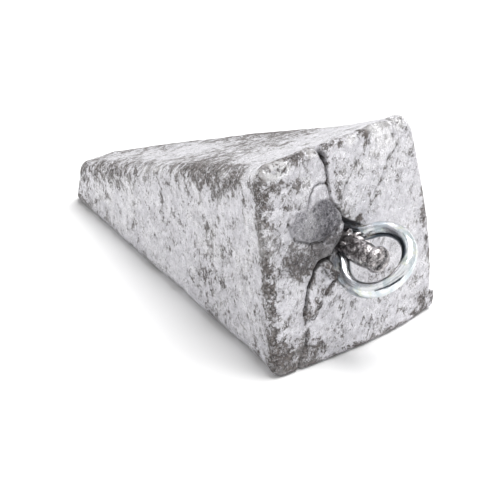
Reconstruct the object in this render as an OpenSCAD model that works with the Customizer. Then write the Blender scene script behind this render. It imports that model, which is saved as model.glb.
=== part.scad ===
// Pyramid fishing sinker: a tapered square lead casting with a bent wire eye set in its wide end.
// It lies on one long side, as it does on a table, with the eye towards -Y and the tip towards +Y.
// The origin is the middle of the side that it rests on.

/* [Casting] */
// Width of the wide end, halfway up
base_w = 20.5; // [17:0.5:30]
// Width of the blunt tip
tip_w = 5.0; // [4.6:0.2:8]
// Length of the casting along its own axis
body_len = 42.5; // [36:0.5:60]
// Rounding of the long edges
edge_r = 1.8; // [1:0.1:2.4]
// Rounding of the rim round the wide end
rim_r = 0.7; // [0.4:0.1:1]
// Rounding of the blunt tip
tip_r = 1.0; // [0.7:0.1:1.6]
// Distance that the lower side of the tip runs on beyond its middle
tip_lean = 1.5; // [0:0.1:1.8]
// Swell of the top right edge halfway along, over its straight taper
edge_swell = 0.3; // [0:0.05:0.5]

/* [Wide end] */
// Height of the crown that the poured lead left on the wide end
crown_h = 0.7; // [0.3:0.1:1]
// Height by which the top right corner stands over the top left one
corner_lift = 0.6; // [0:0.1:0.9]
// Radius of the hollow that the wire comes out of
mouth_r = 2.4; // [2.2:0.1:3]
// Depth of that hollow
mouth_depth = 0.9; // [0.7:0.1:1.3]
// Radius of the rounded lobes of lead beside the hollow
lobe_r = 2.3; // [1.8:0.1:2.8]
// Height of the largest lobe over the wide end
lobe_h = 0.5; // [0.3:0.05:0.8]
// Radius of the bit of flash at the bottom right corner
flash_r = 0.8; // [0.5:0.1:1]
// Depth of the cold shuts, where two folds of lead met without joining
shut_depth = 0.9; // [0.5:0.1:1.4]

/* [Sprue stub] */
// Radius of the broken stub of lead left in the neck of the eye
stub_r = 1.15; // [0.9:0.05:1.3]
// Radius of the lump halfway up the stub
lump_r = 1.35; // [1.1:0.05:1.5]
// Radius of the bead at the end of the stub
bead_r = 1.25; // [0.9:0.05:1.4]
// Radius of the knob of lead on the stub's root, over the wire
knob_r = 0.8; // [0.6:0.05:1]
// Distance of the bead's centre from the start of the legs' bends
stub_len = 4.9; // [4:0.1:5.2]

/* [Wire eye] */
// Diameter of the wire
wire_d = 1.5; // [1.3:0.1:1.6]
// Inside diameter of the ring
eye_d = 5.2; // [4.8:0.1:7]
// Distance between the middles of the two legs
leg_pitch = 2.7; // [2.4:0.1:3.2]
// Bend radius where a leg opens out into the ring
neck_r = 2.9; // [2.5:0.1:4]
// Length of each straight leg in the lead
leg_len = 8; // [5:0.5:12]
// Length of the splayed foot that keys each leg in the lead
foot_len = 3; // [2:0.5:4]
// Angle of each foot from its leg
foot_angle = 32; // [20:1:45]
// Turn of the eye's plane about the casting's axis
eye_turn = 38; // [30:1:50]
// Angle by which the eye is bent down from the casting's axis
eye_droop = 12; // [4:1:16]
// Depth below the wide end at which the legs start to bend
droop_depth = 0.7; // [0.6:0.1:1.2]

/* [Hidden] */
$fn = 48;
// Half widths of the top and bottom edges of the cross-section, as shares of its half height
top_share = 0.968;
bottom_share = 1.04;
// Roundings of the long edges at top right, top left, bottom left and bottom right
edge_shares = [0.9, 1, 1, 0.8];
// Shares of those roundings that the corners of the rim have
rim_edge_shares = [1.2, 0.7, 0.7, 0.7];
// Smallest rounding of a corner, as a share of the rim's rounding
least_r_share = 0.7;
// Share of a long edge's rounding that is left at the tip
tip_edge_share = 0.55;
// Distance along the casting over which a long edge swells to its full rounding
edge_run = 7;
// Distance along the casting over which the lift of the top right corner dies away
lift_run = 10;
// Distance from the tip over which its lean dies away
lean_run = 8;
// Lean of the crown to the right and up, as shares of its height
crown_lean_shares = [0.5, -0.36];
// Sizes of the rings of facets inside the rim, as shares of the rim's
crown_ring_shares = [0.25, 0.5, 0.75];
// Steps in the arc of each long edge, between two such arcs, in the rim, the swelling and the tip
edge_steps = 5;
side_steps = 6;
rim_steps = 4;
run_steps = 3;
tip_steps = 6;
// Gap that the cooled lead leaves round the wire
cast_gap = 0.03;
// Overrun of every cut, and sinking of every raised form in its face
over = 0.2;
// Swelling of the wire where one bend meets the next, and how far each bend stops short of that place
knuckle_swell = 0.02;
knuckle_cut = 0.06;
// Place of the legs' middle on the wide end
eye_x = 0.1;
eye_y = 0.25;
// Places of the three lobes as shares of the wide end's half width, and their radii and heights as shares of
// the largest lobe's
lobe_place_shares = [[-0.28, 0.38], [-0.49, 0.4], [-0.35, 0.55]];
lobe_r_shares = [1, 0.9, 0.8];
lobe_height_shares = [1, 0.8, 0.6];
// Place of the flash up the wide end
flash_y = -8.8;
// Depth of the flash's middle in the corner, as a share of its radius
flash_in_share = 0.55;
// Distance of the stub's middle from the middle of the eye's plane
stub_shift = 0.35;
// Places of the lump and the knob up the stub, as shares of the stub's length
lump_share = 0.6;
knob_share = 0.27;
// Place of the knob off the stub's middle, as shares of its radius
knob_place_shares = [1.1, 0.8];
// Outline of the open cold shut, from the top edge down
top_shut_shares = [[-0.27, 1.05], [-0.215, 1.05], [-0.155, 0.78], [-0.15, 0.52], [-0.175, 0.78], [-0.2, 0.9]];
// Outline of the crescent cold shut, from the mouth down to the left
low_shut_shares = [[-0.2, -0.03], [-0.34, -0.05], [-0.5, -0.2], [-0.6, -0.48], [-0.61, -0.6], [-0.58, -0.48],
    [-0.48, -0.22], [-0.33, -0.08]];

half_base = base_w / 2;
half_tip = tip_w / 2;
// Angle between the axis and each side
taper = atan((half_base - half_tip) / body_len);
wire_r = wire_d / 2;
ring_r = (eye_d + wire_d) / 2;
leg_x = leg_pitch / 2;
// Height of the ring's centre over the start of the neck's bends
ring_rise = sqrt(pow(ring_r + neck_r, 2) - pow(leg_x + neck_r, 2));
// Angle that each neck bend turns through
neck_angle = atan2(ring_rise, leg_x + neck_r);
// Half height of the casting at a distance below its wide end
function half_at(depth) = half_base + (half_tip - half_base) * depth / body_len;

// Part of what the wide end has that is left at a distance below it
function left_over(depth, run) = min(1, max(0, 1 - depth / run));

// Height of the crown at a place on the wide end
function crown_at(p) =
    let (q = p / half_base)
    crown_h * (1 - pow(q[0] * q[1], 2)) * (1 + crown_lean_shares * q);

// Quarter circle of a corner, from an angle on
function corner_arc(middle, r, from) =
    [for (i = [0:edge_steps]) let (a = from + 90 * i / edge_steps) middle + r * [cos(a), sin(a)]];

// Rounding of a long edge at a distance below the wide end, before any inset
function edge_at(depth, k) =
    let (rim = rim_edge_shares[k], swell = rim + (1 - rim) * sin(90 * (1 - left_over(depth, edge_run))))
    let (to_tip = max(0, depth - edge_run) / (body_len - edge_run))
    edge_r * edge_shares[k] * (swell + (tip_edge_share - 1) * to_tip);

// Outline of the cross-section, anticlockwise from the top right corner
function section(depth, inset) =
    let (h = half_at(depth) - inset)
    let (top = half_at(depth) * top_share - inset)
    let (bottom = half_at(depth) * bottom_share - inset)
    let (swell = edge_swell * sin(180 * min(1, max(0, depth / body_len))))
    let (lift = corner_lift * pow(left_over(depth, lift_run), 2) + swell)
    let (r = [for (k = [0:3]) max(rim_r * least_r_share, edge_at(depth, k) - inset)])
    let (arcs = [
        corner_arc([top - r[0], h + lift - r[0]], r[0], 0),
        corner_arc([r[1] - top, h - r[1]], r[1], 90),
        corner_arc([r[2] - bottom, r[2] - h], r[2], 180),
        corner_arc([bottom - r[3], r[3] - h], r[3], 270)
    ])
    [for (k = [0:3]) let (from = arcs[k][edge_steps], to = arcs[(k + 1) % 4][0])
        each concat(arcs[k], [for (j = [1:side_steps - 1]) from + (to - from) * j / side_steps])];

// Ring of points at a distance below the wide end, drawn out with the crown and with the lean of the tip
function ring_points(depth, inset) =
    let (flat = section(depth, inset), left = left_over(depth, edge_run))
    let (lean = tip_lean * pow(left_over(body_len - depth, lean_run), 2) / half_at(depth))
    [for (i = [0:len(flat) - 1])
        let (rise = crown_at(flat[i]) * left + lean * flat[i][1], p = section(depth - rise, inset)[i])
        [p[0], p[1], rise - depth]];

// Rings inside the rim, from its middle out
rim_outline = section(0, rim_r);
crown_rings = [for (share = crown_ring_shares) [for (p = rim_outline * share) [p[0], p[1], crown_at(p)]]];

// Distances below the wide end, each with its inset, from the rim to the tip
rim_stations = [for (i = [0:rim_steps]) let (a = 90 * i / rim_steps)
    [rim_r * (1 - cos(a)), rim_r * (1 - sin(a))]];
run_stations = [for (i = [1:run_steps]) [edge_run * i / run_steps, 0]];
tip_stations = [for (i = [0:tip_steps]) let (a = 90 * i / tip_steps)
    [body_len - tip_r * (1 - sin(a)), tip_r * (1 - cos(a))]];
stations = concat(rim_stations, run_stations, tip_stations);

// Tapered casting from the middle of the wide end out over the rim and down to the tip
module blank() {
    rings = concat(crown_rings, [for (s = stations) ring_points(s[0], s[1])]);
    count = len(rings[0]);
    last = (len(rings) - 1) * count;
    middle = len(rings) * count;
    points = concat([for (ring = rings) each ring], [[0, 0, crown_at([0, 0])], [0, 0, -body_len]]);
    wide_fan = [for (i = [0:count - 1]) [middle, (i + 1) % count, i]];
    tip_fan = [for (i = [0:count - 1]) [middle + 1, last + i, last + (i + 1) % count]];
    sides = [for (j = [0:len(rings) - 2], i = [0:count - 1])
        let (k = (i + 1) % count, a = j * count, b = a + count)
        each [[a + i, a + k, b + k], [a + i, b + k, b + i]]];
    polyhedron(points, concat(wide_fan, sides, tip_fan), convexity = 4);
}

// Ball that shows as a low dome of a radius and height on the wide end
module dome(place, r, h) {
    ball_r = (r * r + h * h) / (2 * h);
    intersection() {
        translate([place[0], place[1], crown_at(place) + h - ball_r]) sphere(ball_r);
        translate([place[0], place[1], -over]) cylinder(r = 1.5 * r, h = 2 * crown_h + h + over);
    }
}

// Thumb of lead beside the hollow: two lobes in line, and a lower one over them
module lobes() {
    for (i = [0:len(lobe_r_shares) - 1])
        dome(half_base * lobe_place_shares[i], lobe_r * lobe_r_shares[i], lobe_h * lobe_height_shares[i]);
}

// Bit of flash at the bottom right corner
module flash() {
    translate([half_base * bottom_share - flash_r * flash_in_share, flash_y, -flash_r]) sphere(flash_r);
}

// Hollow that the wire comes out of
module mouth() {
    ball_r = (mouth_r * mouth_r + mouth_depth * mouth_depth) / (2 * mouth_depth);
    translate([eye_x, eye_y, crown_h + ball_r - mouth_depth]) sphere(ball_r);
}

// Cut down into the wide end, with an outline in shares of the end's half width
module shut(shares) {
    translate([0, 0, -shut_depth])
        linear_extrude(shut_depth + 2 * crown_h + lobe_h)
            polygon(half_base * shares);
}

// Broken stub of lead along the middle of the eye, a little to one side of the wire
module stub() {
    drooped() rotate(eye_turn) translate([0, stub_shift, 0]) {
        cylinder(r = stub_r, h = stub_len);
        translate([0, 0, stub_len * lump_share]) sphere(lump_r);
        translate([0, 0, stub_len]) sphere(bead_r);
        translate([knob_r * knob_place_shares[0], knob_r * knob_place_shares[1], stub_len * knob_share])
            sphere(knob_r);
    }
}

module lead_body() {
    color([0.6, 0.6, 0.63]) lay() difference() {
        union() {
            difference() {
                union() {
                    blank();
                    lobes();
                    flash();
                }
                mouth();
                shut(top_shut_shares);
                shut(low_shut_shares);
            }
            stub();
        }
        wire(wire_r + cast_gap);
    }
}

// Round wire bent about the Z axis, from X = r, short of its knuckles at both ends
module wire_bend(r, angle, wire) {
    short = asin(knuckle_cut / r);
    rotate(short) rotate_extrude(angle = angle - 2 * short) translate([r, 0]) circle(wire);
}

// Straight wire down the Z axis, short of its knuckles at both ends
module wire_run(length, wire) {
    translate([0, 0, knuckle_cut - length]) cylinder(r = wire, h = length - 2 * knuckle_cut);
}

// Ball that joins one run or bend of the wire to the next
module knuckle(wire) {
    sphere(wire + knuckle_swell);
}

// One leg in the lead with its splayed foot, down the Z axis
module leg(wire) {
    wire_run(leg_len, wire);
    translate([0, 0, -leg_len]) {
        knuckle(wire);
        rotate([0, -foot_angle, 0]) wire_run(foot_len, wire);
    }
}

// One neck bend of the eye, up from the leg at X = leg_x
module neck(wire) {
    translate([leg_x, 0, 0]) knuckle(wire);
    rotate([90, 0, 0]) translate([leg_x + neck_r, 0]) {
        rotate(180 - neck_angle) wire_bend(neck_r, neck_angle, wire);
        rotate(180 - neck_angle) translate([neck_r, 0]) knuckle(wire);
    }
}

// Ring of the eye, open between its necks
module ring(wire) {
    rotate([90, 0, 0]) translate([0, ring_rise]) rotate(-neck_angle)
        wire_bend(ring_r, 180 + 2 * neck_angle, wire);
}

// Whole eye in the casting's frame
module wire(r) {
    drooped() rotate(eye_turn) {
        neck(r);
        rotate(180) neck(r);
        ring(r);
    }
    for (side = [0, 180])
        drooped() rotate(eye_turn + side) translate([leg_x, 0, 0])
            rotate(-eye_turn - side) rotate([-eye_droop, 0, 0]) rotate(eye_turn + side) leg(r);
}

// Bends what it holds down from the casting's axis, about the middle of the legs' upper ends
module drooped() {
    translate([eye_x, eye_y, -droop_depth]) rotate([eye_droop, 0, 0]) children();
}

module wire_eye() {
    color([0.75, 0.78, 0.8]) lay() wire(wire_r);
}

// Lays the casting, drawn along Z, on its lower side with the origin in the middle of that side
module lay() {
    near = -half_base * sin(taper);
    far = -half_tip * sin(taper) + body_len * cos(taper);
    translate([0, -(near + far) / 2, half_base * cos(taper)]) rotate([90 - taper, 0, 0]) children();
}

lead_body();
wire_eye();
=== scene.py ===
"""Looks for a cast lead pyramid sinker that lies on one long side, with a bent wire eye in its wide end."""

import math

import bpy
import numpy as np
from mathutils import Matrix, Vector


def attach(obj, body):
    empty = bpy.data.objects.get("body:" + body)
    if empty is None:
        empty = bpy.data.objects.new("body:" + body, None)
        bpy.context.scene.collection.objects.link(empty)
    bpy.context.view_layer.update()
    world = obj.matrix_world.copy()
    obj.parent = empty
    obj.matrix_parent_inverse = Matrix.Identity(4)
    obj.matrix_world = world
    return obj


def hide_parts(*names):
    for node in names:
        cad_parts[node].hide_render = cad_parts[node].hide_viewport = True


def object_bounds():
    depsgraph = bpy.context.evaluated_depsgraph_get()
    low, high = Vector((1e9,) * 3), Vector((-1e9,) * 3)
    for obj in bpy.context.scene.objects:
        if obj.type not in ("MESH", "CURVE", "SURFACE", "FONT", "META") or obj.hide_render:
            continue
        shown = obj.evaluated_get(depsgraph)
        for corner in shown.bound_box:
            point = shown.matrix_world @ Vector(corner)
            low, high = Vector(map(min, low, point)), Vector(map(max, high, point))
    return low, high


MM = 0.001

# Cells across the wide end, and what the casting stays inside the CAD box by, in metres
FACE_CELLS = 190
BOX_MARGIN = 0.00002

# Sizes of the casting in millimetres, as in the part's source
BASE_W = 20.5
TIP_W = 5.0
BODY_LEN = 42.5
EDGE_R = 1.8
RIM_R = 0.7
TIP_R = 1.0
TIP_LEAN = 1.5
EDGE_SWELL = 0.3
CROWN_H = 0.7
CORNER_LIFT = 0.6
TOP_SHARE = 0.968
BOTTOM_SHARE = 1.04
# Radius of each long edge as a share, anticlockwise from the bottom left one, and that share at the rim
EDGE_SHARES = (1.0, 0.8, 0.9, 1.0)
RIM_EDGE_SHARES = (0.7, 0.7, 1.2, 0.7)
LEAST_R_SHARE = 0.7
TIP_EDGE_SHARE = 0.55
EDGE_RUN = 7.0
LIFT_RUN = 10.0
LEAN_RUN = 8.0
FLASH_R = 0.8
# The flash stands 0.7 mm further forward and 0.3 mm higher than in the source, level with the rim
FLASH_PLACE = (10.22, -8.5, -0.1)
CROWN_LEAN = (0.5, -0.36)

# Way a place moves over the wide end, as the camera sees it, for each millimetre that it stands out
SIGHT = np.array([0.95, -0.51])

# Sizes of the wire eye
WIRE_D = 1.5
EYE_D = 5.2
LEG_PITCH = 2.7
NECK_R = 2.9
LEG_LEN = 8.0
FOOT_LEN = 3.0
FOOT_ANGLE = math.radians(32)
EYE_TURN = math.radians(38)
EYE_DROOP = math.radians(12)
DROOP_DEPTH = 0.7
EYE_X, EYE_Y = 0.1, 0.25
RING_R = (EYE_D + WIRE_D) / 2
RING_RISE = math.sqrt((RING_R + NECK_R) ** 2 - (LEG_PITCH / 2 + NECK_R) ** 2)
WIRE_STEP = 0.12
WIRE_SIDES = 36

# Sizes of the stub of lead in the neck of the eye
STUB_SHIFT = 0.35
STUB_LEN = 4.9
STUB_R = 1.15
BEAD_RADII = [1.30, 1.27, 1.02]
# Lumps on it and knobs on the wire: place, radii, flats, how far out they lie, seed and tone, a painted
# lightness for the light each lump catches
STUB_LUMPS = (((-0.12, 0.66, 3.10), (1.22, 1.14, 1.12), 12, 0.66, 63, 0.70),
              ((-0.50, 0.92, 1.55), (0.68, 0.64, 0.66), 10, 0.66, 64, 1.0),
              ((0.42, 0.80, 2.30), (0.64, 0.62, 0.66), 9, 0.66, 65, 0.60),
              ((-0.88, 0.64, 2.35), (0.56, 0.62, 0.66), 9, 0.66, 66, 0.75),
              ((0.30, 0.70, 1.10), (0.66, 0.60, 0.60), 10, 0.66, 67, 0.45))
KNOB_LUMPS = (((0.74, 0.62, 0.46), (0.60, 0.52, 0.56), 10, 0.62, 71, 0.45),
              ((0.98, 0.66, 1.62), (0.50, 0.48, 0.60), 10, 0.62, 75, 0.65))

HALF_BASE = BASE_W / 2
HALF_TIP = TIP_W / 2
TAPER = math.atan((HALF_BASE - HALF_TIP) / BODY_LEN)


def smooth(x, low, high):
    """0 below low and 1 above high, with an eased step between them."""
    t = np.clip((x - low) / (high - low), 0, 1)
    return t * t * (3 - 2 * t)


def bell(x, wide, power=2):
    """1 at 0, falling off evenly on both sides."""
    return np.exp(-((x / wide) ** power))


def spot(x, y, cx, cy, rx, ry):
    """1 at a place, falling off round it, with a reach of its own each way."""
    return np.exp(-(((x - cx) / rx) ** 2) - ((y - cy) / ry) ** 2)


def half_at(depth):
    """Half height of the casting at a depth below its wide end."""
    return HALF_BASE + (HALF_TIP - HALF_BASE) * depth / BODY_LEN


def left_over(depth, run):
    """Part of what the wide end has that is left at a depth."""
    return np.clip(1 - depth / run, 0, 1)


def crown_at(x, y):
    """Height of the poured crown over the wide end."""
    fx, fy = x / HALF_BASE, y / HALF_BASE
    return CROWN_H * (1 - (fx * fy) ** 2) * (1 + CROWN_LEAN[0] * fx + CROWN_LEAN[1] * fy)


def lay(points):
    """From the casting's own frame, Z out of its wide end, to the row frame: millimetres to metres."""
    near = -HALF_BASE * math.sin(TAPER)
    far = -HALF_TIP * math.sin(TAPER) + BODY_LEN * math.cos(TAPER)
    x, y, z = points.T
    s, c = math.sin(TAPER), math.cos(TAPER)
    return MM * np.column_stack([x, y * s - z * c - (near + far) / 2, HALF_BASE * c + y * c + z * s])


# Noise on a lattice, the same on every run


def lattice(ix, iy, iz, seed):
    """A number from -1 to 1 for each lattice point."""
    h = (ix * 374761393 + iy * 668265263 + iz * 2147483647 + seed * 1274126177) & 0xFFFFFFFF
    h = ((h ^ (h >> 13)) * 1103515245) & 0xFFFFFFFF
    h = ((h ^ (h >> 16)) * 2654435761) & 0xFFFFFFFF
    h = h ^ (h >> 15)
    return (h & 0xFFFFFF) / 0xFFFFFF * 2 - 1


def ripple(points, size, seed, octaves=1):
    """Soft lumps of a size in millimetres, each octave half as large as the one before."""
    total = np.zeros(len(points))
    for octave in range(octaves):
        q = points / (size / 2**octave)
        base = np.floor(q).astype(np.int64)
        f = q - base
        f = f * f * (3 - 2 * f)
        value = np.zeros(len(points))
        for corner in np.ndindex(2, 2, 2):
            weight = 1.0
            for axis, d in enumerate(corner):
                weight = weight * (f[:, axis] if d else 1 - f[:, axis])
            value += weight * lattice(*(base + corner).T, seed + octave)
        total += value / 2**octave
    return total


# Lines and outlines on the wide end


def from_line(x, y, line):
    """Distance to a line of points, and how far along it the nearest place lies, from 0 to 1."""
    line = np.array(line, float)
    steps = np.linalg.norm(np.diff(line, axis=0), axis=1)
    gone = np.concatenate([[0], np.cumsum(steps)]) / steps.sum()
    best = np.full(len(x), 1e9)
    along = np.zeros(len(x))
    for i in range(len(line) - 1):
        (ax, ay), (bx, by) = line[i], line[i + 1]
        dx, dy = bx - ax, by - ay
        t = np.clip(((x - ax) * dx + (y - ay) * dy) / (dx * dx + dy * dy), 0, 1)
        d = np.hypot(x - ax - t * dx, y - ay - t * dy)
        nearer = d < best
        best = np.where(nearer, d, best)
        along = np.where(nearer, gone[i] + t * (gone[i + 1] - gone[i]), along)
    return best, along


def inside(x, y, outline):
    """Distance in from an outline, less than zero outside it."""
    closed = list(outline) + [outline[0]]
    d, _ = from_line(x, y, closed)
    hit = np.zeros(len(x), bool)
    for (ax, ay), (bx, by) in zip(closed[:-1], closed[1:]):
        if ay != by:
            crosses = (ay > y) != (by > y)
            hit ^= crosses & (x < (bx - ax) * (y - ay) / (by - ay) + ax)
    return np.where(hit, d, -d)


def pillow(depth_in, height, run):
    """A lobe that rises from its outline over a run and then stays level."""
    t = np.clip(depth_in / run, 0, 1)
    return height * np.sqrt(1 - (1 - t) ** 2) * (depth_in > 0)


TOP_SHUT = [(-2.35, 11.2), (-2.2, 10.0), (-1.85, 9.0), (-1.65, 8.0), (-1.7, 7.0), (-1.75, 6.6)]
TOP_SHUT_TAIL = [(-1.75, 6.6), (-1.65, 5.5), (-1.35, 4.7), (-0.7, 3.8), (-0.15, 2.9)]
LOW_SHUT = [(-2.2, -0.4), (-3.5, -0.55), (-4.5, -1.2), (-5.3, -2.3), (-5.8, -3.5), (-6.1, -4.8), (-6.2, -5.6)]
LEAF_EDGE = [(-1.8, -2.6), (-2.7, -3.2), (-3.3, -3.8), (-4.2, -4.9), (-5.2, -5.8), (-6.2, -5.9)]
LEAF = [*LOW_SHUT, *reversed(LEAF_EDGE)]
THUMB = [(-7.1, 4.2), (-6.8, 3.2), (-6.05, 2.3), (-4.85, 1.65), (-3.4, 1.45), (-2.25, 1.6), (-1.15, 2.2),
         (-0.5, 2.8), (-0.8, 3.8), (-1.45, 4.8), (-2.4, 5.6), (-3.6, 5.6), (-5.2, 5.2), (-6.4, 5.25)]
KNUCKLE = [(-4.9, 4.6), (-4.5, 5.3), (-4.3, 6.05), (-3.65, 6.75), (-2.8, 6.95), (-2.05, 6.7), (-1.7, 5.6),
           (-2.2, 4.4)]
UNDER_THUMB = [(-1.15, 2.3), (-0.15, 2.7), (-0.15, 1.8), (-0.75, 1.0), (-1.25, 0.5), (-2.2, -0.35),
               (-3.1, -0.5), (-4.3, 0.5), (-4.6, 1.3), (-3.4, 1.6), (-2.2, 1.8)]
NUGGET = [(-3.7, -1.0), (-3.1, -0.75), (-2.4, -0.95), (-1.9, -1.6), (-1.55, -2.4), (-1.9, -2.9), (-2.4, -2.8),
          (-2.9, -2.0)]
TONGUE = [(-1.2, 4.4), (-0.6, 3.5), (0.2, 2.7), (1.0, 2.25), (1.6, 2.1), (2.2, 2.2), (3.0, 2.8), (3.6, 3.5),
          (3.0, 4.6), (0.6, 5.4)]
FOLD = [(1.4, 2.25), (2.2, 2.2), (3.0, 2.8), (4.0, 4.0), (5.0, 5.0), (5.6, 6.0), (6.5, 7.2), (8.0, 8.0),
        (9.2, 9.4)]
FAINT_FOLD = [(-0.4, 4.9), (0.4, 5.9), (1.2, 6.6), (2.0, 7.6)]
HAIR_FOLD = [(5.6, 6.0), (7.0, 7.4), (8.4, 8.6)]
NOTCH = [(-7.5, -11.4), (-7.35, -10.2), (-7.2, -9.0), (-6.4, -8.2), (-6.2, -7.0)]
MOUTH_RIM = [(-0.4, 2.9), (0.2, 2.5), (0.9, 2.1), (1.7, 1.6), (2.1, 0.9), (1.7, -0.2), (0.8, -1.3),
             (-0.4, -2.0), (-1.6, -2.2), (-2.4, -1.7), (-2.7, -0.8), (-2.3, -0.3), (-1.5, 0.35), (-1.0, 0.8),
             (-0.6, 1.4), (-0.3, 2.2)]
CREVICES = [[(-0.35, 2.9), (0.1, 2.6), (0.8, 2.25)], [(-0.3, 2.1), (-0.55, 1.25), (-0.8, 0.7)],
            [(-0.8, 0.7), (-1.4, 0.42), (-2.15, 0.0), (-2.7, -0.65), (-2.5, -1.2)]]

# Grooves in the wide end: line, depth and width
GROOVES = ((LEAF_EDGE, 0.25, 0.14), (FOLD, 0.07, 0.10), (FAINT_FOLD, 0.08, 0.10), (HAIR_FOLD, 0.05, 0.09),
           (NOTCH, 0.35, 0.18))
# Painted shade in them: line, width and how dark
CREASE_SHADE_LINES = ((TOP_SHUT_TAIL, 0.07, 0.8), (LEAF_EDGE, 0.09, 0.75), (FOLD, 0.06, 0.40),
               (FAINT_FOLD, 0.08, 0.45), (NOTCH, 0.13, 0.7))
# Oxide along them: line, width and how much more
SOOT_LINES = ((FOLD, 0.3, 0.16), (FAINT_FOLD, 0.35, 0.3), (HAIR_FOLD, 0.25, 0.2), (LEAF_EDGE, 0.35, 0.45),
              (NOTCH, 0.5, 0.4), (TOP_SHUT_TAIL, 0.25, 0.25), (TOP_SHUT, 0.35, 0.6), (LOW_SHUT, 0.22, 0.5))
# Stains on the wide end: place, radius and how much more oxide
STAINS = ((9.3, 7.0, 0.7, 0.5), (6.0, 9.3, 0.4, 0.55), (8.9, 9.3, 0.6, 0.3), (2.5, 7.0, 0.9, 0.25),
          (3.4, 6.6, 0.4, 0.3), (9.4, -9.0, 1.0, 0.35), (9.2, 1.6, 1.4, 0.2), (-8.2, -8.9, 1.6, 0.2),
          (5.0, -6.0, 4.0, 0.06), (2.1, 1.9, 0.35, 0.8), (0.2, 3.4, 0.6, 0.3))
# Painted highlights on the upper rim, where it is rubbed bright: place, half width and strength
RIM_HIGHLIGHTS = ((-8.0, 9.4, 1.1, 2.8), (-3.4, 10.0, 0.8, 1.0), (1.3, 10.1, 0.6, 1.0), (4.6, 10.1, 0.5, 0.8),
          (8.2, 10.2, 1.3, 1.4))
RIM_HIGHLIGHT_H = 0.4

# Shift of the drawn lines over the wide end for each millimetre of crown
CROWN_SHIFT = (0.8, -0.46)


def on_face(x, y):
    """Places on the wide end as they are seen over its crown, for the lines above."""
    rise = crown_at(x, y)
    return x + CROWN_SHIFT[0] * rise, y + CROWN_SHIFT[1] * rise


def waver(w, v):
    """Places as points, and how far the drawn lines waver there both ways."""
    flat = np.column_stack([w, v, np.zeros(len(w))])
    return flat, 0.10 * ripple(flat, 0.8, 11, 2), 0.10 * ripple(flat, 0.8, 17, 2)


def to_upper_leg(w, v):
    """How far a place lies towards the upper leg of the eye."""
    return 0.45 * v - 0.79 * w


def relief(x, y):
    """Height of the folds, lobes and shuts of the wide end over its crown."""
    w, v = on_face(x, y)
    flat, dw, dv = waver(w, v)
    w, v = w + dw, v + dv
    h = 0.10 * ripple(flat, 6.0, 3, 2) + 0.02 * ripple(flat, 0.9, 5, 2)
    brushed = flat @ np.array([[0.8, -0.6, 0], [0.6, 0.8, 0], [0, 0, 1]])
    h += 0.022 * ripple(brushed * [1, 0.25, 1], 0.5, 7, 2)
    left = smooth(-w, 1.0, 6.0)
    h += left * 0.06 * ripple(flat, 1.3, 8, 3)
    # The left pour stands over the right one along the open shut
    h += 0.18 * smooth(-w - 1.5, -0.3, 1.2) * smooth(v, 1.0, 5.0)
    h += pillow(inside(w, v, TONGUE), 0.10, 0.5)
    h += pillow(inside(w, v, KNUCKLE), 0.18, 0.7)
    under = inside(w, v, UNDER_THUMB)
    hollow = spot(w, v, -5.6, 0.3, 2.8, 1.3)
    h -= 0.30 * hollow
    h += 0.16 * ripple(flat, 0.7, 21, 3) * np.maximum(hollow, smooth(under, -0.3, 0.3))
    h = np.maximum(h, pillow(under, 0.30, 0.8) + 0.07 * ripple(flat, 0.6, 23, 2))
    thumb = inside(w, v, THUMB)
    h = np.maximum(h, pillow(thumb, 0.46, 1.6) + 0.10 + 0.03 * ripple(flat, 0.5, 25, 2))
    h += pillow(inside(w, v, LEAF), 0.12, 0.6)
    h += pillow(inside(w, v, NUGGET), 0.34, 0.45)
    # Shuts and folds
    d, t = from_line(w, v, TOP_SHUT)
    h -= 1.1 * bell(d, 0.09 + 0.40 * (1 - t) ** 1.6)
    d, _ = from_line(w, v, TOP_SHUT_TAIL)
    h -= 0.20 * bell(d, 0.12)
    d, t = from_line(w, v, LOW_SHUT)
    h -= 0.8 * bell(d, 0.12 + 0.03 * np.sin(9 * t)) * smooth(1 - t, 0, 0.12)
    for line, deep, wide in GROOVES:
        d, t = from_line(w, v, line)
        h -= deep * bell(d, wide) * (0.75 + 0.25 * np.sin(23 * t))
    for outline, deep, where in ((THUMB, 0.24, smooth(-v, -5.0, -4.2)), (KNUCKLE, 0.20, smooth(v, 4.8, 5.6))):
        d = -inside(w, v, outline)
        h -= deep * bell(d - 0.08, 0.12) * where
    # Hollow round the wire
    back = smooth(to_upper_leg(w, v), -1.5, 0.2) * smooth(v, -0.6, 0.5)
    h -= (0.45 + 2.05 * back) * smooth(inside(w, v, MOUTH_RIM), -0.05, 0.95 - 0.65 * back)
    dent = 0.55 * np.exp(-((w - 1.0) ** 2 + (v - 1.2) ** 2) / 1.9**2)
    h -= dent * smooth(-under, -0.1, 0.2) * smooth(-thumb, -0.1, 0.2)
    return h


def bare_leg(x, y, height):
    """Height of the lead once none of it stands before the upper leg of the eye, as seen."""
    up = np.linspace(-0.9, 2.3, 17)
    out = LEG_PITCH / 2 + NECK_R - np.sqrt(NECK_R**2 - np.maximum(up, 0) ** 2)
    leg = drooped(np.column_stack([out, 0 * up, up]))
    seen = leg[:, :2] + leg[:, 2:] * SIGHT
    w, v = on_face(x, y)
    lobes = np.maximum(inside(w, v, THUMB), inside(w, v, UNDER_THUMB))
    near = (np.hypot(x - 0.8, y - 1.4) < 3) & (lobes < -0.05)
    px, py, low = x[near], y[near], height[near].copy()
    slice_h, leg_r = 0.05, 0.72
    for z in np.arange(1.3, -2.5, -slice_h):
        d, along = from_line(px + SIGHT[0] * z, py + SIGHT[1] * z, seen)
        blocks = (d < leg_r) & (z > np.interp(along, np.linspace(0, 1, len(up)), leg[:, 2]) - 0.1)
        low = np.where(blocks & (low > z - slice_h), z - slice_h, low)
    result = height.copy()
    result[near] = low
    return result


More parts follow.
